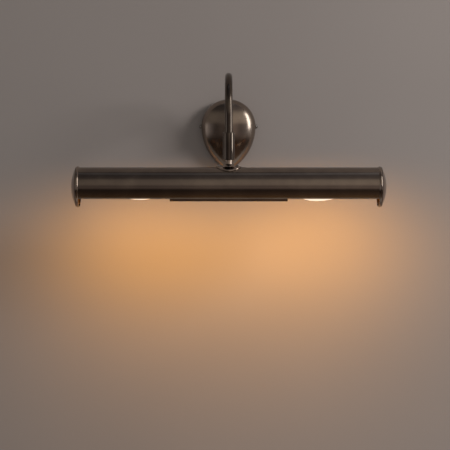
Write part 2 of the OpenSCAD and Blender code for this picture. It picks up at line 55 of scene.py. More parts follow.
cap_low, cap_high = (Vector(corner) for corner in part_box("end_cap_right"))
AXIS_Y = (cap_low.y + cap_high.y) / 2
AXIS_Z = (cap_low.z + cap_high.z) / 2
CAP_RADIUS = (cap_high.y - cap_low.y) / 2
SHADE_END = cap_high.x
TUBE_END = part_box("shade_tube")[1][0]

sleeve_low, sleeve_high = (Vector(corner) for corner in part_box("knuckle_sleeve"))
SLEEVE_RADIUS = (sleeve_high.x - sleeve_low.x) / 2
SLEEVE_BOTTOM = sleeve_low.z
SLEEVE_TOP = sleeve_high.z

plate_low, plate_high = (Vector(corner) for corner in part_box("backplate_cover"))
PLATE_HALF = plate_high.x
PLATE_OUT = -plate_low.y

ARM_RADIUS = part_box("swan_neck_arm")[1][0]
STEM_END_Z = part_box("neck_stem")[0][2]

# ---- sizes that the part's source sets ----

TUBE_RADIUS = 22 * MM
TUBE_WALL = 1.2 * MM
LIP_FRONT = 40
LIP_BACK = 5
CAP_MOUTH_X = SHADE_END - 9.5 * MM
CAP_BEAD = 1.9 * MM
CAP_DOME = 48.15 * MM
CAP_WALL = 1 * MM
ARM_ROOT_Z = -11 * MM
ARM_BEND = 14 * MM
ARM_RISER = 1.5 * MM
ARM_STUB = 3 * MM
ARM_IN = 13 * MM
SLEEVE_BORE = 5.2 * MM
SLEEVE_LAND = 6 * MM
STOP_DROP = 3.6 * MM
ARM_END_Z = SLEEVE_TOP - SLEEVE_LAND - 7.1 * MM
# taken off the pipe so that its facets stay within the frame's own arm
ARM_EASE = 0.02 * MM
PIVOT_Z = AXIS_Z + 37.7 * MM
NECK_RADIUS = 4.2 * MM
NECK_BORE = 2.5 * MM
BALL_RADIUS = 5 * MM
STEM_THREAD = 3.8 * MM
SADDLE_RADIUS = 14.7 * MM
SADDLE_T = 1.3 * MM
SADDLE_BOSS_Z = 25.4 * MM
SADDLE_FLARE = 1.5
SADDLE_SCREW_X = 10.4 * MM
LAMP_CONTACT = 47 * MM
LAMP_BELLY = LAMP_CONTACT + 51.6 * MM
LAMP_LIFT = {"right": 1.5 * MM, "left": 2.8 * MM}
SIDE_SCREW_Y = -4.5 * MM
AXIS = Vector((0, AXIS_Y, AXIS_Z))
SLOT_TURN = math.radians((LIP_FRONT - LIP_BACK) / 2)

# ---- camera ----

CAMERA_OUT = 1.85
CAMERA_DROP = 43 * MM
CAMERA_LEFT = 4.2 * MM
CAMERA_HALF_VIEW = math.radians(7.803)
SENSOR = 36

camera_data = bpy.data.cameras.new("camera")
camera_data.sensor_width = SENSOR
camera_data.lens = SENSOR / 2 / math.tan(CAMERA_HALF_VIEW)
camera = bpy.data.objects.new("camera", camera_data)
camera.location = (-CAMERA_LEFT, AXIS_Y - CAMERA_OUT, AXIS_Z - CAMERA_DROP)
camera.rotation_euler = (math.radians(90), 0, 0)
bpy.context.collection.objects.link(camera)
bpy.context.scene.camera = camera


# ---- material tools ----


class Reading:
    """A number running through a material's nodes. Arithmetic on it adds Math nodes."""

    def __init__(self, finish, socket):
        self.finish = finish
        self.socket = socket

    def _maths(self, operation, *numbers):
        node = self.finish.node("Math", {"operation": operation}, dict(enumerate(numbers)))
        return Reading(self.finish, node.outputs[0])

    def __add__(self, other):
        return self._maths("ADD", self, other)

    __radd__ = __add__

    def __sub__(self, other):
        return self._maths("SUBTRACT", self, other)

    def __rsub__(self, other):
        return self._maths("SUBTRACT", other, self)

    def __mul__(self, other):
        return self._maths("MULTIPLY", self, other)

    __rmul__ = __mul__

    def __truediv__(self, other):
        return self._maths("DIVIDE", self, other)

    def __rtruediv__(self, other):
        return self._maths("DIVIDE", other, self)

    def __pow__(self, other):
        return self._maths("POWER", self, other)

    def size(self):
        return self._maths("ABSOLUTE", self)

    def above(self, other):
        return self._maths("GREATER_THAN", self, other)

    def least(self, other):
        return self._maths("MAXIMUM", self, other)

    def ramp(self, low, high, to_low=0.0, to_high=1.0):
        """Eases from to_low to to_high as the number goes from low to high, and stays there."""
        node = self.finish.node(
            "MapRange",
            {"interpolation_type": "SMOOTHSTEP", "clamp": True},
            {"Value": self, "From Min": low, "From Max": high, "To Min": to_low, "To Max": to_high},
        )
        return Reading(self.finish, node.outputs[0])


class Finish:
    """One material or world, and the short ways of adding nodes to it."""

    def __init__(self, name, owner=None):
        self.owner = owner or bpy.data.materials.new(name)
        self.owner.use_nodes = True
        self.tree = self.owner.node_tree
        self.tree.nodes.clear()

    def node(self, kind, settings=None, sockets=None):
        """Adds one node: its settings first, then the values or links of its sockets."""
        made = self.tree.nodes.new("ShaderNode" + kind)
        for key, value in (settings or {}).items():
            if key == "stops":
                self._set_stops(made.color_ramp, value)
            else:
                setattr(made, key, value)
        for key, value in (sockets or {}).items():
            value = getattr(value, "socket", value)
            if isinstance(value, bpy.types.NodeSocket):
                self.tree.links.new(value, made.inputs[key])
            else:
                made.inputs[key].default_value = value
        return made

    @staticmethod
    def _set_stops(ramp, stops):
        while len(ramp.elements) < len(stops):
            ramp.elements.new(0.5)
        for element, (place, colour) in zip(ramp.elements, stops):
            element.position = place
            element.color = (*colour, 1)

    def place(self):
        return self.node("TexCoord").outputs["Object"]

    def parts(self, vector):
        """The three numbers of a place or direction."""
        made = self.node("SeparateXYZ", None, {0: vector})
        return [Reading(self, made.outputs[i]) for i in range(3)]

    def moved(self, vector, origin=(0, 0, 0), turn=(0, 0, 0), stretch=(1, 1, 1)):
        made = self.node(
            "Mapping",
            {"vector_type": "TEXTURE"},
            {"Vector": vector, "Location": origin, "Rotation": turn,
             "Scale": tuple(1 / s for s in stretch)},
        )
        return made.outputs[0]

    def cloud(self, vector, per_metre, detail=2.0, rough=0.5):
        """Soft noise from 0 to 1; per_metre is how many blotches fit in a metre."""
        made = self.node(
            "TexNoise", None,
            {"Vector": vector, "Scale": per_metre, "Detail": detail, "Roughness": rough},
        )
        return Reading(self, made.outputs["Fac"])

    def mix(self, share, first, second):
        """A colour between two, as share goes from 0 to 1."""
        made = self.node("Mix", {"data_type": "RGBA"}, {0: share})
        for index, colour in ((6, first), (7, second)):
            if isinstance(colour, bpy.types.NodeSocket):
                self.tree.links.new(colour, made.inputs[index])
            else:
                made.inputs[index].default_value = (*colour, 1)
        return made.outputs[2]

    def bump(self, height, depth, strength=1.0, under=None):
        sockets = {"Height": height, "Distance": depth, "Strength": strength}
        if under is not None:
            sockets["Normal"] = under
        return self.node("Bump", None, sockets).outputs[0]

    def done(self, shader):
        self.node("OutputMaterial", None, {"Surface": shader.outputs[0]})
        return self.owner

    def surface(self, colour, rough, metal=0.0, normal=None, **fixed):
        """The finished surface. Plain numbers in fixed go straight on the shader's sockets."""
        sockets = {"Base Color": colour, "Roughness": rough, "Metallic": metal}
        if isinstance(colour, tuple):
            sockets["Base Color"] = (*colour, 1)
        if normal is not None:
            sockets["Normal"] = normal
        for key, value in fixed.items():
            sockets[key.replace("_", " ")] = value
        return self.done(self.node("BsdfPrincipled", None, sockets))


# ---- finishes ----

BRONZE = (0.235, 0.19, 0.16)
BRONZE_WORN = (0.3, 0.245, 0.2)
BRONZE_DEEP = (0.16, 0.125, 0.105)
GOLD = (0.83, 0.56, 0.22)
GOLD_PALE = (0.88, 0.64, 0.3)
LINES_PER_M = 5200
PATINA_PER_M = 34
SPECKS_PER_M = 900
SPRAY_PER_M = 700


def brush_lines(finish, place, along):
    """Fine brushing whose lines run along one direction, given as a stretch of the noise."""
    fine = finish.cloud(finish.moved(place, stretch=along), LINES_PER_M, 2, 0.6)
    broad = finish.cloud(finish.moved(place, stretch=along), LINES_PER_M / 6, 2, 0.5)
    return fine * 0.65 + broad * 0.35


def bronze(name, along=None, rough=0.17, axis=None, lined=False, depth=1.0):
    """Dark bronze plating, brushed along a direction or turned about an axis along X.

    A lined piece is gold lacquered inside, wherever it faces the shade's own axis. A depth
    below one gives a darker copy of the bronze as painted shade, above one a lighter copy as painted
    highlight.
    """
    finish = Finish(name)
    place = finish.place()
    if axis is None:
        lines = brush_lines(finish, place, along)
    else:
        _, y, z = finish.parts(finish.moved(place, origin=axis))
        radius = (y * y + z * z) ** 0.5
        rings = finish.node("CombineXYZ", None, {0: radius}).outputs[0]
        lines = finish.cloud(rings, LINES_PER_M, 2, 0.6)
    patina = finish.cloud(place, PATINA_PER_M, 4, 0.62)
    specks = finish.cloud(place, SPECKS_PER_M, 2, 0.5).ramp(0.66, 0.78)
    # depth scales every tone of the same bronze: painted shade below one, painted highlight or painted
    # light above one
    plain, worn, deep = (
        tuple(depth * v for v in tone) for tone in (BRONZE, BRONZE_WORN, BRONZE_DEEP))
    colour = finish.mix(patina.ramp(0.3, 0.7), plain, worn)
    colour = finish.mix(specks * 0.35, colour, deep)
    roughness = rough + (lines - 0.5) * 0.09 + (patina - 0.5) * 0.09 + specks * 0.08
    normal = finish.bump(lines, 0.004 * MM, 0.5)
    normal = finish.bump(patina, 0.05 * MM, 0.12, normal)
    if lined:
        inside = facing_axis(finish, place)
        spray = finish.cloud(place, SPRAY_PER_M, 3, 0.6)
        drift = finish.cloud(place, 26, 3, 0.5)
        gold = finish.mix(drift.ramp(0.3, 0.7), GOLD, GOLD_PALE)
        colour = finish.mix(inside, colour, gold)
        roughness = roughness + inside * (0.22 + (spray - 0.5) * 0.16)
    return finish.surface(colour, roughness, 1.0, normal)


def facing_axis(finish, place):
    """1 where a surface faces the shade's axis from its inside, otherwise 0."""
    x, y, z = finish.parts(finish.moved(place, origin=tuple(AXIS)))
    nx, ny, nz = finish.parts(finish.node("TexCoord").outputs["Normal"])
    inward = 0 - (ny * y + nz * z)
    ends = (x.size() - TUBE_END - 3 * MM).above(0) * (0 - nx * x).above(0)
    radius = (y * y + z * z) ** 0.5
    wall = inward.above(0.004) * (TUBE_RADIUS - 0.3 * MM - radius).above(0)
    return wall.least(ends)


def plated(name, light, dark, rough, per_metre, metal=1.0, relief=0.02):
    """Small metal or moulded goods: a mottled tone, varied gloss and a fine relief."""
    finish = Finish(name)
    place = finish.place()
    mottle = finish.cloud(place, per_metre, 4, 0.6)
    grain = finish.cloud(place, per_metre * 9, 2, 0.5)
    colour = finish.mix(mottle.ramp(0.3, 0.7), dark, light)
    roughness = rough + (mottle - 0.5) * 0.16 + (grain - 0.5) * 0.1
    normal = finish.bump(grain, relief * MM, 0.6)
    return finish.surface(colour, roughness, metal, normal)


def lit_glass():
    """Opal glass lit from inside: hotter over the filament, cooler towards neck and tip."""
    finish = Finish("lit_opal_glass")
    place = finish.place()
    x, _, _ = finish.parts(place)
    from_belly = (x.size() - LAMP_BELLY).size()
    heat = from_belly.ramp(8 * MM, 46 * MM, 1.0, 0.42)
    bloom = finish.cloud(place, 160, 3, 0.5)
    glow = finish.mix(heat, (0.9, 0.42, 0.14), (1.0, 0.8, 0.6))
    roughness = 0.3 + (bloom - 0.5) * 0.14
    colour = finish.mix(bloom.ramp(0.3, 0.7), (0.9, 0.86, 0.78), (0.95, 0.92, 0.86))
    normal = finish.bump(bloom, 0.02 * MM, 0.4)
    return finish.surface(
        colour, roughness, 0.0, normal,
        Emission_Color=glow, Emission_Strength=0.95, Coat_Weight=0.3, Coat_Roughness=0.08,
    )


def insulated(name, tone):
    """Extruded wire covering with faint draw lines."""
    finish = Finish(name)
    place = finish.place()
    draw = finish.cloud(finish.moved(place, stretch=(1, 1, 0.2)), 2400, 2, 0.5)
    dust = finish.cloud(place, 220, 3, 0.6)
    dark = tuple(0.7 * value for value in tone)
    colour = finish.mix(dust.ramp(0.35, 0.7), tone, dark)
    normal = finish.bump(draw, 0.02 * MM, 0.5)
    return finish.surface(colour, 0.42 + (dust - 0.5) * 0.2, 0.0, normal)



# ---- ways of making a piece ----

SEAM = 1e-6
# angle in degrees above which an edge is drawn sharp
ROUND_WORK, FLAT_WORK, SMOOTH_WORK = 32, 20, 60


def soften(corners, radius, steps=5):
    """A closed outline through these corners, each rounded; radius is one number or one a corner."""
    radii = radius if isinstance(radius, (list, tuple)) else [radius] * len(corners)
    outline = []
    for i, corner in enumerate(corners):
        here = Vector(corner)
        if not radii[i]:
            outline.append(here)
            continue
        back = (Vector(corners[i - 1]) - here).normalized()
        ahead = (Vector(corners[(i + 1) % len(corners)]) - here).normalized()
        half = back.angle(ahead) / 2
        centre = here + (back + ahead).normalized() * radii[i] / math.sin(half)
        reach = radii[i] / math.tan(half)
        start, end = here + back * reach - centre, here + ahead * reach - centre
        for k in range(steps + 1):
            outline.append(centre + start.lerp(end, k / steps).normalized() * radii[i])
    return outline


def arc(centre, radius, start, end, steps):
    """Points along an arc, in degrees from the first axis."""
    turns = [math.radians(start + (end - start) * k / steps) for k in range(steps + 1)]
    return [Vector(centre) + radius * Vector((math.cos(a), math.sin(a))) for a in turns]


def skin(shape, rows, around=True, along=False):
    """Joins rows of points into a surface of quads; around closes each row, along the last to the first."""
    made = [[shape.verts.new(point) for point in row] for row in rows]
    for i in range(len(made) if along else len(made) - 1):
        row, other = made[i], made[(i + 1) % len(made)]
        for k in range(len(row) if around else len(row) - 1):
            n = (k + 1) % len(row)
            shape.faces.new((row[k], row[n], other[n], other[k]))
    return made


def turn(shape, outline, origin, way=(1, 0, 0), steps=96):
    """Turns a closed outline of (distance along, radius) about the line from origin along way."""
    spin = Vector(way).to_track_quat("Z", "Y").to_matrix()
    rows = []
    for k in range(steps):
        angle = 2 * math.pi * k / steps
        ray = Vector((math.cos(angle), math.sin(angle), 0))
        rows.append([Vector(origin) + spin @ (ray * r + Vector((0, 0, a))) for a, r in outline])
    skin(shape, rows, around=True, along=True)


def close_up(shape):
    """Merges doubles, drops faces of no area and turns every face outwards."""
    bmesh.ops.remove_doubles(shape, verts=shape.verts, dist=SEAM)
    bmesh.ops.dissolve_degenerate(shape, edges=shape.edges, dist=SEAM)
    loose = [v for v in shape.verts if not v.link_faces]
    bmesh.ops.delete(shape, geom=loose, context="VERTS")
    bmesh.ops.recalc_face_normals(shape, faces=shape.faces)


def as_object(name, shape):
    mesh = bpy.data.meshes.new(name)
    shape.to_mesh(mesh)
    shape.free()
    made = bpy.data.objects.new(name, mesh)
    bpy.context.collection.objects.link(made)
    return made


def settle(made):
    """Makes the result of an object's modifiers its own plain mesh."""
    bpy.context.view_layer.update()
    graph = bpy.context.evaluated_depsgraph_get()
    result = bpy.data.meshes.new_from_object(made.evaluated_get(graph))
    made.modifiers.clear()
    made.data = result
    return made


def cut_away(made, tool):
    """Cuts one solid out of another."""
    cut = made.modifiers.new("cut", "BOOLEAN")
    cut.operation = "DIFFERENCE"
    cut.solver = "EXACT"
    cut.object = tool
    settle(made)
    bpy.data.objects.remove(tool)
    return made


def break_edges(made, width, angle=35, segments=2):
    """Takes the sharpness off the edges of a piece."""
    bevel = made.modifiers.new("broken_edges", "BEVEL")
    bevel.width = width
    bevel.segments = segments
    bevel.limit_method = "ANGLE"
    bevel.angle_limit = math.radians(angle)
    bevel.harden_normals = False
    return settle(made)


def finish_piece(made, body, nodes, finish, sharp=ROUND_WORK):
    """Gives a piece its finish, its shading, the body it rides on and the parts it stands for."""
    mesh = made.data
    mesh.shade_smooth()
    mesh.set_sharp_from_angle(angle=math.radians(sharp))
    if finish is not None:
        mesh.materials.clear()
        mesh.materials.append(finish)
    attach(made, body)
    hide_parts(*nodes)
    return made


def copy_of(name, node):
    """A merged copy of a frame part, its flat faces in one piece again."""
    shape = bmesh.new()
    shape.from_mesh(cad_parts[node].data)
    bmesh.ops.remove_doubles(shape, verts=shape.verts, dist=SEAM)
    bmesh.ops.dissolve_limit(
        shape, angle_limit=math.radians(0.6), verts=shape.verts, edges=shape.edges)
    return as_object(name, shape)


class Recipe:
    """A Geometry Nodes tree being written: named sizes in, one finished mesh out."""

    def __init__(self, name, **sizes):
        self.tree = bpy.data.node_groups.new(name, "GeometryNodeTree")
        face = self.tree.interface
        face.new_socket("Start", in_out="INPUT", socket_type="NodeSocketGeometry")
        self.keys = {}
        for size, kind in {**sizes, "finish": "Material"}.items():
            made = face.new_socket(size, in_out="INPUT", socket_type="NodeSocket" + kind)
            self.keys[size] = made.identifier
        face.new_socket("Piece", in_out="OUTPUT", socket_type="NodeSocketGeometry")
        self.given = self.tree.nodes.new("NodeGroupInput").outputs

    def node(self, kind, settings=None, sockets=None):
        made = self.tree.nodes.new(kind)
        for key, value in (settings or {}).items():
            setattr(made, key, value)
        for key, value in (sockets or {}).items():
            if isinstance(value, bpy.types.NodeSocket):
                self.tree.links.new(value, made.inputs[key])
            else:
                made.inputs[key].default_value = value
        return made.outputs[0]

    def end(self, piece):
        real = self.node("GeometryNodeRealizeInstances", None, {0: piece})
        done = self.node(
            "GeometryNodeSetMaterial", None, {"Geometry": real, "Material": self.given["finish"]})
        out = self.tree.nodes.new("NodeGroupOutput")
        self.tree.links.new(done, out.inputs[0])
        return self

    def grow(self, made, **values):
        """Runs the tree on an object and keeps the plain mesh that comes out."""
        work = made.modifiers.new(self.tree.name, "NODES")
        work.node_group = self.tree
        for size, value in values.items():
            work[self.keys[size]] = value
        return settle(made)


def pipe_recipe():
    """A round section swept along a path, its ends closed."""
    recipe = Recipe("swept_pipe", radius="Float", sides="Int")
    path = recipe.node("GeometryNodeMeshToCurve", None, {0: recipe.given["Start"]})
    section = recipe.node(
        "GeometryNodeCurvePrimitiveCircle", {"mode": "RADIUS"},
        {"Resolution": recipe.given["sides"], "Radius": recipe.given["radius"]},
    )
    pipe = recipe.node(
        "GeometryNodeCurveToMesh", None,
        {"Curve": path, "Profile Curve": section, "Fill Caps": True},
    )
    return recipe.end(pipe)


def screws_recipe():
    """A copy of one screw at each point, turned by the point's own angles."""
    recipe = Recipe("set_of_screws", screw="Object")
    screw = recipe.node("GeometryNodeObjectInfo", None, {"Object": recipe.given["screw"]})
    screw = screw.node.outputs["Geometry"]
    turns = recipe.node(
        "GeometryNodeInputNamedAttribute", {"data_type": "FLOAT_VECTOR"}, {"Name": "turn"})
    turns = recipe.node("FunctionNodeEulerToRotation", None, {0: turns})
    points = recipe.node("GeometryNodeMeshToPoints", None, {"Mesh": recipe.given["Start"]})
    copies = recipe.node(
        "GeometryNodeInstanceOnPoints", None,
        {"Points": points, "Instance": screw, "Rotation": turns},
    )
    return recipe.end(copies)


def thread_recipe():
    """A rolled thread: a round section wound along X, closed at its ends."""
    recipe = Recipe("rolled_thread", radius="Float", pitch="Float", turns="Float", wire="Float")
    length = recipe.node(
        "ShaderNodeMath", {"operation": "MULTIPLY"},
        {0: recipe.given["pitch"], 1: recipe.given["turns"]},
    )
    wind = recipe.node(
        "GeometryNodeCurveSpiral", None,
        {"Resolution": 48, "Rotations": recipe.given["turns"], "Height": length,
         "Start Radius": recipe.given["radius"], "End Radius": recipe.given["radius"]},
    )
    section = recipe.node(
        "GeometryNodeCurvePrimitiveCircle", {"mode": "RADIUS"},
        {"Resolution": 10, "Radius": recipe.given["wire"]},
    )
    thread = recipe.node(
        "GeometryNodeCurveToMesh", None,
        {"Curve": wind, "Profile Curve": section, "Fill Caps": True},
    )
    both = recipe.tree.nodes.new("GeometryNodeJoinGeometry")
    recipe.tree.links.new(thread, both.inputs[0])
    return recipe.end(both.outputs[0])


PIPE = pipe_recipe()
SCREWS = screws_recipe()


def path_object(name, points):
    shape = bmesh.new()
    row = [shape.verts.new(point) for point in points]
    for a, b in zip(row, row[1:]):
        shape.edges.new((a, b))
    return as_object(name, shape)


def side_path(x, *runs):
    """Points in the side view, given as (distance out, height) pairs, at one place along the shade."""
    return [Vector((x, -u, z)) for run in runs for u, z in run]


def slotted_screw(name, head_r, head_h, dome_r, shank_r, shank, slot_w, slot_deep):
    """A round-headed slotted screw standing on its seat at the origin, head up."""
    shape = bmesh.new()
    crown = [
        (head_h - dome_r + math.sqrt(max(dome_r ** 2 - (head_r * k / 8) ** 2, 0)), head_r * k / 8)
        for k in range(9)
    ]
    outline = [*crown, (0, head_r), (0, shank_r), (-shank, shank_r), (-shank, 0)]
    radii = [0] * 8 + [0.18 * MM, 0, 0, 0.2 * MM, 0]
    turn(shape, soften(outline, radii), (0, 0, 0), (0, 0, 1), 40)
    close_up(shape)
    screw = as_object(name, shape)
    groove = bmesh.new()
    bmesh.ops.create_cube(groove, size=1)
    bmesh.ops.scale(groove, vec=(slot_w, 4 * head_r, 2 * slot_deep), verts=groove.verts)
    bmesh.ops.translate(groove, vec=(0, 0, head_h), verts=groove.verts)
    return cut_away(screw, as_object(name + "_groove", groove))


def set_of_screws(name, screw, seats, body, nodes, finish):
    """Screws at these seats; each seat is (place, way the head points, turn of its slot)."""
    mesh = bpy.data.meshes.new(name)
    mesh.from_pydata([place for place, _, _ in seats], [], [])
    turns = mesh.attributes.new("turn", "FLOAT_VECTOR", "POINT")
    for entry, (_, way, slot_turn) in zip(turns.data, seats):
        face = Vector(way).to_track_quat("Z", "Y").to_matrix()
        spin = Matrix.Rotation(math.radians(slot_turn), 3, "Z")
        entry.vector = tuple((face @ spin).to_euler())
    made = bpy.data.objects.new(name, mesh)
    bpy.context.collection.objects.link(made)
    SCREWS.grow(made, screw=screw, finish=finish)
    bpy.data.objects.remove(screw)
    return finish_piece(made, body, nodes, None, 28)


# ---- the shade ----


def shade_shell():
    """Rolled tube with rounded lips along its opening."""
    start, end = -LIP_FRONT, 180 + LIP_BACK
    half = TUBE_WALL / 2
    middle = TUBE_RADIUS - half
    lip = math.degrees(half / middle)
    pairs = [(start + lip + (end - start - 2 * lip) * k / 150, half) for k in range(151)]
    for k in range(1, 6):
        bow = math.radians(90 * k / 6)
        pairs.insert(0, (start + lip - lip * math.sin(bow), half * math.cos(bow)))
        pairs.append((end - lip + lip * math.sin(bow), half * math.cos(bow)))

    def spot(angle, radius):
        a = math.radians(angle)
        return AXIS_Y - radius * math.cos(a), AXIS_Z + radius * math.sin(a)

    outer = [spot(angle, middle + h) for angle, h in pairs]
    inner = [spot(angle, middle - h) for angle, h in pairs]
    section = [spot(start, middle), *outer, spot(end, middle), *reversed(inner)]
    stations = [-TUBE_END, -TUBE_END / 3, TUBE_END / 3, TUBE_END]
    shape = bmesh.new()
    rows = skin(shape, [[(x, y, z) for y, z in section] for x in stations])
    n = len(pairs)
    for row in (rows[0], rows[-1]):
        shape.faces.new((row[0], row[1], row[2 * n + 1]))
        shape.faces.new((row[n], row[n + 1], row[n + 2]))
        for i in range(1, n):
            shape.faces.new((row[i], row[i + 1], row[2 * n + 1 - i], row[2 * n + 2 - i]))
    close_up(shape)
    return as_object("shade_shell", shape)


def end_cap(side):
    """Spun cap: rolled bead at its mouth, a fine valley, then a shallow dome."""
    bead_x = CAP_MOUTH_X + CAP_BEAD
    bead_r = CAP_RADIUS - CAP_BEAD
    dome_r = CAP_DOME
    centre_x = SHADE_END - dome_r
    bore = TUBE_RADIUS + 0.05 * MM
    edge_r = CAP_RADIUS - 0.62 * MM
    mouth = math.degrees(math.acos((bore - bead_r) / CAP_BEAD)) + 90
    bead = arc((bead_x, bead_r), CAP_BEAD, mouth, 34, 14)
    rise = math.degrees(math.asin(edge_r / dome_r))
    dome = arc((centre_x, 0), dome_r, rise, 0, 30)
    valley = [bead[-1] + Vector((0.22 * MM, -0.2 * MM)), dome[0] + Vector((-0.3 * MM, -0.34 * MM))]
    inner_r = TUBE_RADIUS - TUBE_WALL
    fall = math.degrees(math.asin(inner_r / (dome_r - CAP_WALL)))
    hollow = arc((centre_x, 0), dome_r - CAP_WALL, 0, fall, 20)
    seat = [Vector((TUBE_END + 0.25 * MM, inner_r)), Vector((TUBE_END + 0.25 * MM, bore))]
    shape = bmesh.new()
    outline = [*bead, *valley, *dome, *hollow, *seat]
    turn(shape, outline, AXIS, (1 if side == "right" else -1, 0, 0), 128)
    close_up(shape)
    return as_object("cap_" + side, shape)


def saddle():
    """Round plate draped over the tube, its rim eased, rising to a boss for the neck."""
    top, under = TUBE_RADIUS + SADDLE_T, TUBE_RADIUS + 0.05 * MM
    foot, crown = 8.6 * MM, 4.75 * MM
    rim = SADDLE_RADIUS
    bore = STEM_THREAD + 0.05 * MM

    def level(radius, y):
        return math.sqrt(radius ** 2 - y ** 2)

    steps = []
    for k in range(9):
        share = k / 8
        steps.append((crown + (foot - crown) * share, 1, (1 - share) ** SADDLE_FLARE))
    steps += [(foot + (rim - foot) * k / 8, 1, 0) for k in range(1, 7)]
    steps += [(rim - 0.42 * MM, 0.97, 0), (rim - 0.16 * MM, 0.82, 0), (rim, 0.5, 0),
              (rim - 0.14 * MM, 0.2, 0), (rim - 0.4 * MM, 0.03, 0)]
    steps += [(rim * (1 - k / 5) + bore * k / 5, 0, 0) for k in range(1, 6)]
    steps += [(bore, 1, 0.6), (bore, 1, 1), (bore + 0.3 * MM, 1, 1)]
    rows = []
    for k in range(120):
        a = 2 * math.pi * k / 120
        row = []
        for rho, share, boss in steps:
            x, y = rho * math.cos(a), rho * math.sin(a)
            z = level(under + (top - under) * share, y)
            z += (SADDLE_BOSS_Z - z) * boss
            row.append(AXIS + Vector((x, y, z)))
        rows.append(row)
    shape = bmesh.new()
    skin(shape, rows, around=True, along=True)
    close_up(shape)
    return as_object("saddle", shape)


def neck():
    """Turned neck: ball in the sleeve, plain shank with a small foot, threaded end, bored through."""
    centre = PIVOT_Z - AXIS_Z
    low = math.degrees(math.acos(NECK_RADIUS / BALL_RADIUS))
    high = math.degrees(math.acos(NECK_BORE / BALL_RADIUS))
    ball = arc((centre, 0), BALL_RADIUS, 180 - (90 - low), 90 - high, 24)
    stem_end = STEM_END_Z - AXIS_Z
    foot = SADDLE_BOSS_Z + 0.05 * MM
    outline = [
        Vector((stem_end, NECK_BORE)), Vector((stem_end, STEM_THREAD - 0.3 * MM)),
        Vector((stem_end + 0.3 * MM, STEM_THREAD)), Vector((foot, STEM_THREAD)),
        Vector((foot, NECK_RADIUS + 0.3 * MM)), Vector((foot + 0.35 * MM, NECK_RADIUS + 0.3 * MM)),
        Vector((foot + 0.9 * MM, NECK_RADIUS)), *ball,
    ]
    shape = bmesh.new()
    turn(shape, outline, AXIS, (0, 0, 1), 72)
    close_up(shape)
    return as_object("neck", shape)


def lampholder(side):
    """Glazed ceramic holder with eased shoulders and two grooves for the fingers."""
    lift = LAMP_LIFT[side]
    hold_low, hold_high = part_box("lampholder_" + side)
    start = min(abs(hold_low.x), abs(hold_high.x))
    end = max(abs(hold_low.x), abs(hold_high.x))
    body_r = (hold_high.y - hold_low.y) / 2
    back_r, rim_r, bore = body_r - 1.8 * MM, body_r - 0.6 * MM, 7.8 * MM
    groove = 0.5 * MM
    corners = [
        (start, 5 * MM), (start, back_r), (start + 7.6 * MM, back_r), (start + 9.2 * MM, body_r)]
    for k in range(2):
        at = start + (14 + 5 * k) * MM
        corners += [(at, body_r), (at + 0.5 * MM, body_r - groove),
                    (at + 1.5 * MM, body_r - groove), (at + 2 * MM, body_r)]
    corners += [
        (end - 1.7 * MM, body_r), (end - 1.4 * MM, rim_r), (end, rim_r), (end, bore),
        (start + 8.5 * MM, bore), (start + 8.5 * MM, 4 * MM), (start + 6 * MM, 4 * MM),
        (start + 6 * MM, 5 * MM)]
    eased = [0.2 * MM] + [0.6 * MM] * 3 + [0.18 * MM] * 8 + [0.12 * MM] * 2 + [0.5 * MM] * 2
    eased += [0.2 * MM] * (len(corners) - len(eased))
    shape = bmesh.new()
    turn(shape, soften(corners, eased, 3), AXIS + Vector((0, 0, lift)),
         (1 if side == "right" else -1, 0, 0), 72)
    close_up(shape)
    return as_object("holder_" + side, shape)


def lamp_screw_cap(side):
    """Screw shell of a lamp with its rolled thread, insulator and contact button."""
    way = 1 if side == "right" else -1
    centre = AXIS + Vector((0, 0, LAMP_LIFT[side]))
    shell_r, shell_x = 6.6 * MM, LAMP_CONTACT + 3 * MM
    shell_end = LAMP_CONTACT + 25 * MM
    corners = [
        (LAMP_CONTACT, 0), (LAMP_CONTACT, 2.2 * MM), (LAMP_CONTACT + 1 * MM, 2.4 * MM),
        (LAMP_CONTACT + 1.1 * MM, 3.5 * MM), (shell_x, 5.9 * MM), (shell_x + 0.4 * MM, shell_r),
        (shell_end - 1 * MM, shell_r), (shell_end, shell_r - 0.3 * MM), (shell_end, 0)]
    shape = bmesh.new()
    turn(shape, soften(corners, [0, *[0.25 * MM] * 7, 0], 3), centre, (way, 0, 0), 64)
    close_up(shape)
    shell = as_object("lamp_base_" + side, shape)
    empty = bmesh.new()
    empty.verts.new((0, 0, 0))
    thread = THREAD.grow(
        as_object("thread_" + side, empty), radius=6.35 * MM, pitch=2.8 * MM, turns=5.0,
        wire=0.65 * MM, finish=CAP_TIN)
    place = Matrix.Translation(centre + Vector((way * (shell_x + 2 * MM), 0, 0)))
    thread.data.transform(place @ Matrix.Rotation(way * math.radians(90), 4, "Y"))
    both = bmesh.new()
    both.from_mesh(shell.data)
    both.from_mesh(thread.data)
    bmesh.ops.recalc_face_normals(both, faces=both.faces)
    bpy.data.objects.remove(thread)
    bpy.data.objects.remove(shell)
    return as_object("lamp_base_" + side, both)


# ---- knuckle and arm ----


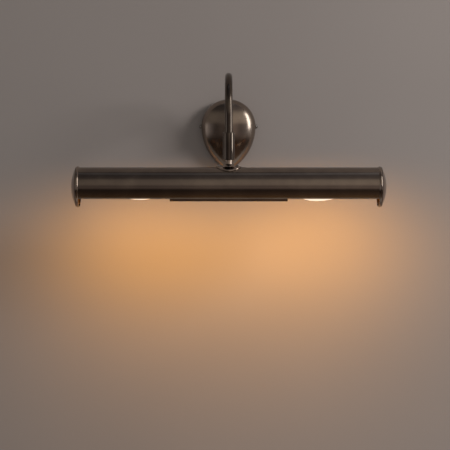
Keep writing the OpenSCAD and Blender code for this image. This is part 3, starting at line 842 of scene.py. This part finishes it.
def sleeve():
    """Turned sleeve, eased at both ends, slotted on the wall side, drilled for its pins and stop."""
    height = SLEEVE_TOP - SLEEVE_BOTTOM
    land = ARM_RADIUS + 0.06 * MM
    step = height - SLEEVE_LAND
    corners = [
        (0, SLEEVE_BORE), (0, SLEEVE_RADIUS), (height, SLEEVE_RADIUS), (height, land),
        (step, land), (step, SLEEVE_BORE)]
    eased = [0.25 * MM, 0.55 * MM, 0.9 * MM, 0.25 * MM, 0.1 * MM, 0.1 * MM]
    shape = bmesh.new()
    turn(shape, soften(corners, eased, 6), (0, AXIS_Y, SLEEVE_BOTTOM), (0, 0, 1), 112)
    close_up(shape)
    made = as_object("sleeve", shape)

    half = NECK_RADIUS + 0.3 * MM
    crown = PIVOT_Z + 2 * MM - half
    outline = [Vector((half, SLEEVE_BOTTOM - 2 * MM)), *arc((0, crown), half, 0, 180, 32),
               Vector((-half, SLEEVE_BOTTOM - 2 * MM))]
    tool = bmesh.new()
    rows = skin(tool, [[(x, AXIS_Y + y, z) for x, z in outline] for y in (0, 2 * SLEEVE_RADIUS)])
    for row in rows:
        tool.faces.new(row)
    close_up(tool)
    cut_away(made, as_object("slot_tool", tool))
    drills = [
        ((-2 * SLEEVE_RADIUS, AXIS_Y, PIVOT_Z), (1, 0, 0), 4 * SLEEVE_RADIUS),
        ((0, AXIS_Y, SLEEVE_TOP - SLEEVE_LAND - STOP_DROP), (0, 1, 0), 2 * SLEEVE_RADIUS)]
    for start, way, length in drills:
        drill = bmesh.new()
        turn(drill, [(0, 0), (0, 1.25 * MM), (length, 1.25 * MM), (length, 0)], start, way, 32)
        close_up(drill)
        cut_away(made, as_object("drill", drill))
    return made


def arm_path():
    root = [(ARM_IN, ARM_ROOT_Z), (PLATE_OUT, ARM_ROOT_Z)]
    bend_u = PLATE_OUT + ARM_STUB
    bend = arc((bend_u, ARM_ROOT_Z + ARM_BEND), ARM_BEND, -90, 0, 28)
    riser_u = bend_u + ARM_BEND
    radius = (-AXIS_Y - riser_u) / 2
    arch_z = ARM_ROOT_Z + ARM_BEND + ARM_RISER
    arch = arc((riser_u + radius, arch_z), radius, 180, 0, 110)
    return side_path(0, root, bend, arch, [(-AXIS_Y, ARM_END_Z)])


def wire_path(kind, sign):
    """The way of one core: up into the arm, or from a lampholder up the neck."""
    half, bend = 1.2 * MM, 4.5 * MM
    if kind == "supply":
        out = 8.5 * MM
        corner = (out + bend, ARM_ROOT_Z - bend)
        start = [(out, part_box("terminal_block")[1].z + 0.2 * MM), (out, corner[1] - 3 * MM)]
        return side_path(sign * half, start, arc(corner, bend, 180, 90, 12),
                         [(corner[0] + 9 * MM, ARM_ROOT_Z)])
    side = "right" if sign > 0 else "left"
    lift, top = LAMP_LIFT[side], STEM_END_Z - AXIS_Z
    bend = top + 1 * MM - lift
    flat = [(39 * MM, lift), (bend + 4 * MM, lift), *arc((bend, lift + bend), bend, 270, 180, 16),
            (0, top + 6 * MM)]
    return [AXIS + Vector((sign * x, sign * half, z)) for x, z in flat]


# ---- studio ----

WALL_TONE = (0.36, 0.31, 0.285)
WALL_GAP, WALL_HOLE = 0.6 * MM, 19 * MM
WALL_TOP, ROOM_HALF = 2.4, 3
FLOOR_DEPTH, FLOOR_FRONT, FLOOR_BACK = 1.3, -0.6, 1
LAMP_WARMTH = (1.0, 0.48, 0.07)
LAMP_WATTS, LAMP_BEAM_SHARE = 1.95, 0.72
LAMP_LIGHT_RADIUS = 12 * MM
LAMP_BEAM_WIDTH, LAMP_BEAM_WAY = math.radians(128), Vector((0, 1, -0.36))
KEY_PLACE, KEY_TARGET, KEY_SIZE, KEY_WATTS = (1.5, -1.0, 0.55), (0, -0.02, -0.02), 0.5, 15
WINDOW_PLACE, WINDOW_TARGET = (2.0, -0.62, 0.8), (0, -0.08, 0.8)
WINDOW_WIDTH, WINDOW_HEIGHT, WINDOW_WATTS = 0.55, 1.6, 13
ROOM_LEVEL = (0.25, 0.247, 0.243)
# what the metal sees of the room: (degrees above level, colour)
BANDS = [
    (-90, (0.24, 0.13, 0.05)), (-68, (0.16, 0.09, 0.035)), (-48, (0.085, 0.055, 0.038)),
    (-27, (0.045, 0.03, 0.022)), (-16, (0.04, 0.03, 0.024)), (-9, (0.22, 0.18, 0.165)),
    (0, (0.19, 0.16, 0.145)), (5, (0.19, 0.16, 0.145)), (10, (0.34, 0.3, 0.265)),
    (22, (0.35, 0.31, 0.275)), (38, (0.31, 0.28, 0.245)), (49, (0.13, 0.115, 0.11)),
    (74, (0.085, 0.08, 0.085)), (79, (0.22, 0.225, 0.245)), (82, (0.22, 0.225, 0.245)),
    (87, (0.05, 0.045, 0.044)),
]
# the same by bearing, in degrees to the right of the lens
BEARINGS = [
    (-125, (0.5, 0.47, 0.45)), (-78, (0.5, 0.47, 0.46)), (-60, (0.22, 0.205, 0.21)),
    (-42, (0.07, 0.06, 0.058)), (-18, (0.035, 0.026, 0.022)), (18, (0.035, 0.026, 0.022)),
    (40, (0.17, 0.15, 0.145)), (56, (0.25, 0.23, 0.22)), (100, (0.45, 0.43, 0.42)),
    (130, (0.42, 0.39, 0.37)),
]


def wall_paint():
    """Plain matt wall, seen only from the room side so that views from behind stay open."""
    finish = Finish("wall_paint")
    place = finish.place()
    roller = finish.cloud(place, 420, 3, 0.6)
    drift = finish.cloud(place, 3, 2, 0.5)
    tone = finish.mix(drift.ramp(0.3, 0.7), WALL_TONE, tuple(0.95 * v for v in WALL_TONE))
    normal = finish.bump(roller, 0.12 * MM, 0.35)
    paint = finish.node(
        "BsdfPrincipled", None, {"Base Color": tone, "Roughness": 0.9, "Normal": normal})
    clear = finish.node("BsdfTransparent")
    back = finish.node("NewGeometry").outputs["Backfacing"]
    shader = finish.node("MixShader", None, {0: back, 1: paint.outputs[0], 2: clear.outputs[0]})
    return finish.done(shader)


def floor_paint():
    finish = Finish("floor_paint")
    speckle = finish.cloud(finish.place(), 60, 4, 0.6)
    return finish.surface(finish.mix(speckle, (0.6, 0.58, 0.55), (0.66, 0.64, 0.61)), 0.8)


def backdrop(name, corners, faces, finish):
    mesh = bpy.data.meshes.new(name)
    mesh.from_pydata(corners, [], faces)
    mesh.materials.append(finish)
    made = bpy.data.objects.new(name, mesh)
    bpy.context.collection.objects.link(made)


def add_light(name, kind, place, watts, colour, **settings):
    data = bpy.data.lights.new(name, kind)
    data.energy = watts
    data.color = colour
    for key, value in settings.items():
        setattr(data, key, value)
    made = bpy.data.objects.new(name, data)
    made.location = place
    bpy.context.collection.objects.link(made)
    return made


def softbox(name, place, target, width, height, watts, colour=(1, 1, 1)):
    made = add_light(
        name, "AREA", place, watts, colour, shape="RECTANGLE", size=width, size_y=height)
    made.rotation_euler = (Vector(target) - Vector(place)).to_track_quat("-Z", "Y").to_euler()
    return made


def lamp_light(side, watts):
    """Warm light leaving a lamp, most of it towards the wall. It rides on the shade."""
    way = 1 if side == "right" else -1
    place = AXIS + Vector((way * LAMP_BELLY, 0, LAMP_LIFT[side]))
    ball = {"shadow_soft_size": LAMP_LIGHT_RADIUS, "use_soft_falloff": False}
    glow = add_light("lamp_glow_" + side, "POINT", place,
                     (1 - LAMP_BEAM_SHARE) * watts, LAMP_WARMTH, **ball)
    beam = add_light(
        "lamp_beam_" + side, "SPOT", place, LAMP_BEAM_SHARE * watts, LAMP_WARMTH,
        spot_size=LAMP_BEAM_WIDTH, spot_blend=1, **ball)
    beam.rotation_euler = LAMP_BEAM_WAY.to_track_quat("-Z", "Y").to_euler()
    for made in (glow, beam):
        made.visible_camera = False
        made.visible_glossy = False
        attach(made, "shade")


def room():
    """The world: one plain level for matt surfaces, and bands and bearings for the metal."""
    world = bpy.data.worlds.new("room")
    bpy.context.scene.world = world
    finish = Finish("room", world)
    x, y, z = finish.parts(finish.node("TexCoord").outputs["Generated"])
    level = (x * x + y * y) ** 0.5
    full = 2 * math.pi

    def angle(over, under):
        return Reading(finish, finish.node(
            "Math", {"operation": "ARCTAN2"}, {0: over, 1: under}).outputs[0])

    def colours(share, stops, low, span):
        scaled = [((a - low) / span, colour) for a, colour in stops]
        return finish.node("ValToRGB", {"stops": scaled}, {0: share}).outputs[0]

    height = angle(z, level)
    bands = colours(height / math.pi + 0.5, BANDS, -90, 180)
    bearings = colours(angle(x, 0 - y) / full + 0.5, BEARINGS, -180, 360)
    # bearings count near level and below the strip overhead; in front, the bands take over
    side_share = (y + 0.35).ramp(-0.35, 0.15)
    near_level = height.size().ramp(math.radians(5), math.radians(15), 1.0, 0.0)
    across = x.size().ramp(0.28, 0.62)
    lean = x.ramp(-0.14, 0.14, 0.55, 1.4)
    tilted = finish.node("VectorMath", {"operation": "SCALE"}, {0: bands, "Scale": lean}).outputs[0]
    seen = finish.mix(near_level * across.least(side_share), tilted, bearings)
    glossy = finish.node("LightPath").outputs["Is Glossy Ray"]
    colour = finish.mix(glossy, ROOM_LEVEL, seen)
    shader = finish.node("Background", None, {"Color": colour, "Strength": 1.0})
    finish.node("OutputWorld", None, {"Surface": shader.outputs[0]})


def stand_studio():
    # the wall has a cable hole, hidden by the backplate
    edge = [(-ROOM_HALF, -FLOOR_DEPTH), (ROOM_HALF, -FLOOR_DEPTH), (ROOM_HALF, WALL_TOP),
            (-ROOM_HALF, WALL_TOP)]
    hole = [(x * WALL_HOLE, z * WALL_HOLE) for x, z in ((-1, -1), (1, -1), (1, 1), (-1, 1))]
    backdrop("wall", [(x, WALL_GAP, z) for x, z in edge + hole],
             [(k, (k + 1) % 4, (k + 1) % 4 + 4, k + 4) for k in range(4)], wall_paint())
    floor = [(-ROOM_HALF, FLOOR_FRONT), (ROOM_HALF, FLOOR_FRONT), (ROOM_HALF, FLOOR_BACK),
             (-ROOM_HALF, FLOOR_BACK)]
    backdrop("floor", [(x, y, -FLOOR_DEPTH) for x, y in floor], [(0, 1, 2, 3)], floor_paint())
    room()
    key = softbox("key", KEY_PLACE, KEY_TARGET, KEY_SIZE, KEY_SIZE, KEY_WATTS)
    key.visible_glossy = False
    softbox(
        "tall_window", WINDOW_PLACE, WINDOW_TARGET, WINDOW_WIDTH, WINDOW_HEIGHT, WINDOW_WATTS)
    for side in ("right", "left"):
        lamp_light(side, LAMP_WATTS)


# ---- finishes in use ----

ALONG_X, ALONG_ARM = (0.05, 1, 1), (1, 0.05, 0.05)
TUBE_BRONZE = bronze("bronze_lengthwise", ALONG_X, lined=True)
# the depths below make lit and shaded copies of one bronze: painted highlight on caps, neck and saddle,
# painted light on cover and backplate, painted shade on arm and sleeve
CAP_BRONZE = bronze("bronze_turned_painted_highlight", rough=0.11, axis=tuple(AXIS), lined=True, depth=1.3)
COVER_BRONZE = bronze("bronze_flat_painted_light", ALONG_X, depth=2)
ARM_BRONZE = bronze("bronze_drawn_painted_shade", ALONG_ARM, 0.1, depth=0.5)
PLATE_BRONZE = bronze("bronze_pressed_painted_light", (1, 1, 0.12), 0.2, depth=1.2)
NECK_BRONZE = bronze("bronze_polished_painted_highlight", ALONG_ARM, 0.09, depth=1.5)
ZINC = plated("zinc_plate", (0.66, 0.66, 0.64), (0.5, 0.5, 0.49), 0.26, 180)
SCREW_STEEL = plated("screw_steel", (0.58, 0.55, 0.51), (0.4, 0.37, 0.34), 0.13, 400)
SCREW_DARK = plated("screw_dark", (0.3, 0.28, 0.26), (0.19, 0.17, 0.16), 0.1, 400)
BRASS = plated("yellow_brass", (0.8, 0.62, 0.3), (0.62, 0.45, 0.2), 0.26, 160)
CAP_TIN = plated("cap_tin", (0.72, 0.72, 0.72), (0.5, 0.5, 0.5), 0.3, 200)
NYLON = plated("white_nylon", (0.8, 0.8, 0.77), (0.7, 0.7, 0.67), 0.45, 90, 0.0)
CERAMIC = plated("glazed_ceramic", (0.82, 0.79, 0.71), (0.74, 0.7, 0.62), 0.2, 120, 0.0)
RUBBER = plated("black_rubber", (0.03, 0.03, 0.03), (0.02, 0.02, 0.02), 0.6, 300, 0.0, 0.06)
GLASS = lit_glass()
WIRE = insulated("brown_wire", (0.22, 0.09, 0.04))

# ---- making and placing every piece ----


def dress(nodes, finish):
    """Puts a finish on parts of the frame that keep their own shape."""
    for name in nodes:
        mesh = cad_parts[name].data
        mesh.materials.clear()
        mesh.materials.append(finish)


def make_shade():
    finish_piece(shade_shell(), "shade", ["shade_tube"], TUBE_BRONZE)
    for side in ("right", "left"):
        finish_piece(end_cap(side), "shade", ["end_cap_" + side], CAP_BRONZE, 24)
        finish_piece(
            lampholder(side), "shade", ["lampholder_" + side], CERAMIC)
        finish_piece(
            lamp_screw_cap(side), "shade", ["lamp_cap_" + side], CAP_TIN, 40)
        glass = copy_of("glass_" + side, "lamp_glass_" + side)
        # the light inside has to leave the lamp
        glass.visible_shadow = False
        finish_piece(glass, "shade", ["lamp_glass_" + side], GLASS)
    finish_piece(saddle(), "shade", ["saddle_plate"], NECK_BRONZE, SMOOTH_WORK)
    finish_piece(neck(), "shade", ["neck_stem"], NECK_BRONZE)
    for name, width, finish, slot in (
            ("centre_cover", 0.35 * MM, COVER_BRONZE, "bronze"),
            ("lampholder_bracket", 0.2 * MM, ZINC, "zinc_steel")):
        made = break_edges(copy_of(name + "_pressed", name), width)
        finish_piece(made, "shade", [name], finish, FLAT_WORK)


def make_wall_side():
    grown = PIPE.grow(
        path_object("arm_tube", arm_path()), radius=ARM_RADIUS - ARM_EASE, sides=56, finish=ARM_BRONZE)
    finish_piece(grown, "wall_side", ["swan_neck_arm"], None, SMOOTH_WORK)
    for name, width, finish, slot in (
            ("wall_bracket", 0.25 * MM, ZINC, "zinc_steel"),
            ("terminal_block", 0.3 * MM, NYLON, "white_plastic")):
        made = break_edges(copy_of(name + "_moulded", name), width)
        finish_piece(made, "wall_side", [name], finish, FLAT_WORK)


def make_wires():
    for node, kind, body in (("supply_wires", "supply", "wall_side"),
                             ("shade_wires", "shade", "shade")):
        for sign, word in ((1, "right"), (-1, "left")):
            name = node + "_" + word
            made = PIPE.grow(
                path_object(name, wire_path(kind, sign)), radius=0.8 * MM, sides=14, finish=WIRE)
            finish_piece(made, body, [node], None, SMOOTH_WORK)


def make_screws():
    side_screw = slotted_screw(
        "side_screw", 2.4 * MM, 2.4 * MM, 2.7 * MM, 1.5 * MM, 6.5 * MM, 0.7 * MM, 1 * MM)
    set_of_screws(
        "side_screws", side_screw,
        [((way * (PLATE_HALF + 0.05 * MM), SIDE_SCREW_Y, 0), (way, 0, 0), turn_by)
         for way, turn_by in ((1, 24), (-1, 70))],
        "wall_side", ["cover_side_screws"], SCREW_DARK)
    saddle_screw = slotted_screw(
        "saddle_screw", 2.6 * MM, 1.6 * MM, 3.4 * MM, 1.45 * MM, 7.2 * MM, 0.7 * MM, 0.7 * MM)
    set_of_screws(
        "saddle_screw_pair", saddle_screw,
        [(AXIS + Vector((way * SADDLE_SCREW_X, 0, TUBE_RADIUS + SADDLE_T + 0.05 * MM)),
          (0, 0, 1), turn_by) for way, turn_by in ((1, 35), (-1, -20))],
        "shade", ["saddle_screws"], SCREW_STEEL)
    cover_screw = slotted_screw(
        "cover_screw", 2.6 * MM, 1.45 * MM, 3.4 * MM, 1.45 * MM, 3.7 * MM, 0.7 * MM, 0.6 * MM)
    down = Vector((0, math.sin(SLOT_TURN), -math.cos(SLOT_TURN)))
    set_of_screws(
        "cover_screw_pair", cover_screw,
        [(AXIS + Vector((way * 27 * MM, 0, 0)) + down * 11.55 * MM, down, turn_by)
         for way, turn_by in ((1, 50), (-1, 12))],
        "shade", ["centre_cover_screws"], SCREW_STEEL)


def make_knuckle():
    finish_piece(sleeve(), "knuckle", ["knuckle_sleeve"], ARM_BRONZE)


THREAD = thread_recipe()
make_shade()
make_wall_side()
make_wires()
make_screws()
make_knuckle()
dress(["backplate_cover"], PLATE_BRONZE)
dress(["arm_lock_washer", "swivel_stop_screw", "tilt_pins"], ZINC)
dress(["terminal_screws", "earth_screw", "arm_boss", "arm_lock_nut", "stem_nut",
       "swivel_collar", "lampholder_nipples", "lampholder_nuts", "lampholder_contacts"], BRASS)
dress(["cable_bush"], RUBBER)
stand_studio()

bpy.context.scene.view_settings.view_transform = "Standard"
